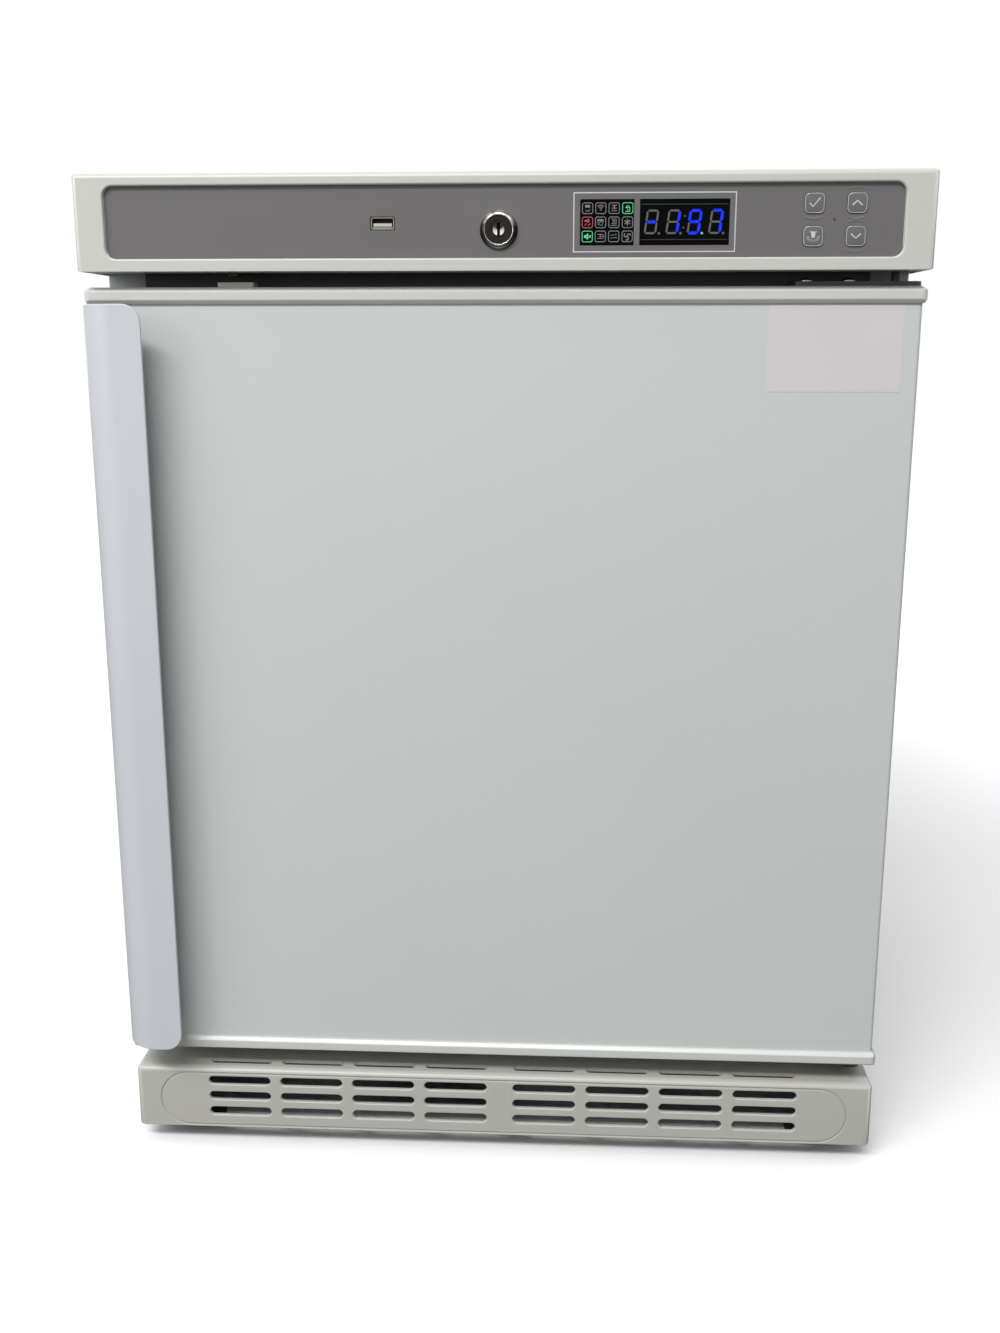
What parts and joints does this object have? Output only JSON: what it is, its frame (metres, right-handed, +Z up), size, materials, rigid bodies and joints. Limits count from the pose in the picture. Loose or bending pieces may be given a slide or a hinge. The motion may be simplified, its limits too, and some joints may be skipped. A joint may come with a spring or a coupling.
{
  "type": "laboratory freezer",
  "caption": "Small under-bench laboratory freezer with a hinged door, side handle, control canopy and slotted plinth.",
  "frame": {"origin": "middle of the bounding rectangle on the floor, under the feet", "axes": "+X to the right seen from the front, +Y to the back, +Z up; the door faces -Y"},
  "size_m": [0.54, 0.56, 0.6875],
  "materials": {
    "white_paint": "satin",
    "white_plastic": "satin",
    "cap_plastic": "satin",
    "galvanised_steel": "satin",
    "dark_painted_steel": "satin",
    "black_painted_steel": "satin",
    "bright_steel": "polished",
    "foam": "matte",
    "liner_plastic": "gloss",
    "coated_wire": "gloss",
    "fascia_grey": "satin",
    "black_gloss": "gloss",
    "board_green": "satin",
    "chrome": "polished",
    "black_plastic": "matte",
    "rubber": "matte",
    "copper": "satin",
    "gasket_rubber": "matte",
    "handle_paint": "satin",
    "magnet_plastic": "satin",
    "bush_plastic": "satin",
    "key_grey": "satin"
  },
  "bodies": {
    "cabinet": {"side_panel_left": "white_paint", "side_panel_right": "white_paint", "top_panel": "galvanised_steel", "worktop": "white_plastic", "back_panel": "galvanised_steel", "base_pan": "galvanised_steel", "bay_panel": "galvanised_steel", "top_rail": "dark_painted_steel", "bottom_rail": "white_paint", "cabinet_foam": "foam", "inner_liner": "liner_plastic", "evaporator_shelf_1": "coated_wire", "evaporator_shelf_2": "coated_wire", "evaporator_shelf_3": "coated_wire", "evaporator_risers": "coated_wire", "canopy": "white_plastic", "fascia_panel": "fascia_grey", "icon_window": "black_gloss", "number_window": "black_gloss", "control_board": "board_green", "usb_socket": "bright_steel", "lock_body": "chrome", "lock_nut": "chrome", "door_sensor": "black_plastic", "top_hinge_bracket": "dark_painted_steel", "bottom_hinge_bracket": "dark_painted_steel", "bracket_screws": "bright_steel", "plinth_grille": "white_plastic", "compressor": "black_painted_steel", "compressor_mounts": "rubber", "terminal_cover": "black_plastic", "condenser": "black_painted_steel", "condenser_standoffs": "black_plastic", "filter_drier": "copper", "refrigerant_pipes": "copper", "mains_box": "black_plastic", "power_inlet": "black_plastic", "wall_spacers": "black_plastic"},
    "door": {"door_skin": "white_paint", "door_foam": "foam", "door_inner_panel": "liner_plastic", "door_gasket": "gasket_rubber", "door_top_cap": "cap_plastic", "door_bottom_cap": "cap_plastic", "door_handle": "handle_paint", "handle_screws": "bright_steel", "hinge_plate": "dark_painted_steel", "hinge_plate_screws": "bright_steel", "door_magnet": "magnet_plastic", "hinge_bush": "bush_plastic"},
    "lock": {"lock_plug": "chrome", "lock_tongue": "galvanised_steel"},
    "key_confirm": {"key_confirm": "key_grey"},
    "key_lamp": {"key_lamp": "key_grey"},
    "key_up": {"key_up": "key_grey"},
    "key_down": {"key_down": "key_grey"},
    "foot_front_left": {"foot_front_left": "black_plastic"},
    "foot_front_right": {"foot_front_right": "black_plastic"},
    "foot_rear_left": {"foot_rear_left": "black_plastic"},
    "foot_rear_right": {"foot_rear_right": "black_plastic"}
  },
  "joints": [
    {"name": "door_swing", "type": "hinge", "parent": "cabinet", "child": "door", "pos_m": [0.254, -0.2356, 0.34835], "axis": [0, 0, 1], "range_deg": [0, 110]},
    {"name": "lock_turn", "type": "hinge", "parent": "cabinet", "child": "lock", "pos_m": [0, -0.2646, 0.6525], "axis": [0, -1, 0], "range_deg": [0, 90]},
    {"name": "key_confirm_press", "type": "slide", "parent": "cabinet", "child": "key_confirm", "axis": [0, 1, 0], "range_m": [0, 0.0008], "stiffness_N_per_m": 400, "springref_m": -0.001},
    {"name": "key_lamp_press", "type": "slide", "parent": "cabinet", "child": "key_lamp", "axis": [0, 1, 0], "range_m": [0, 0.0008], "stiffness_N_per_m": 400, "springref_m": -0.001},
    {"name": "key_up_press", "type": "slide", "parent": "cabinet", "child": "key_up", "axis": [0, 1, 0], "range_m": [0, 0.0008], "stiffness_N_per_m": 400, "springref_m": -0.001},
    {"name": "key_down_press", "type": "slide", "parent": "cabinet", "child": "key_down", "axis": [0, 1, 0], "range_m": [0, 0.0008], "stiffness_N_per_m": 400, "springref_m": -0.001},
    {"name": "foot_front_left_level", "type": "slide", "parent": "cabinet", "child": "foot_front_left", "axis": [0, 0, -1], "range_m": [0, 0.012]},
    {"name": "foot_front_right_level", "type": "slide", "parent": "cabinet", "child": "foot_front_right", "axis": [0, 0, -1], "range_m": [0, 0.012]},
    {"name": "foot_rear_left_level", "type": "slide", "parent": "cabinet", "child": "foot_rear_left", "axis": [0, 0, -1], "range_m": [0, 0.012]},
    {"name": "foot_rear_right_level", "type": "slide", "parent": "cabinet", "child": "foot_rear_right", "axis": [0, 0, -1], "range_m": [0, 0.012]}
  ]
}
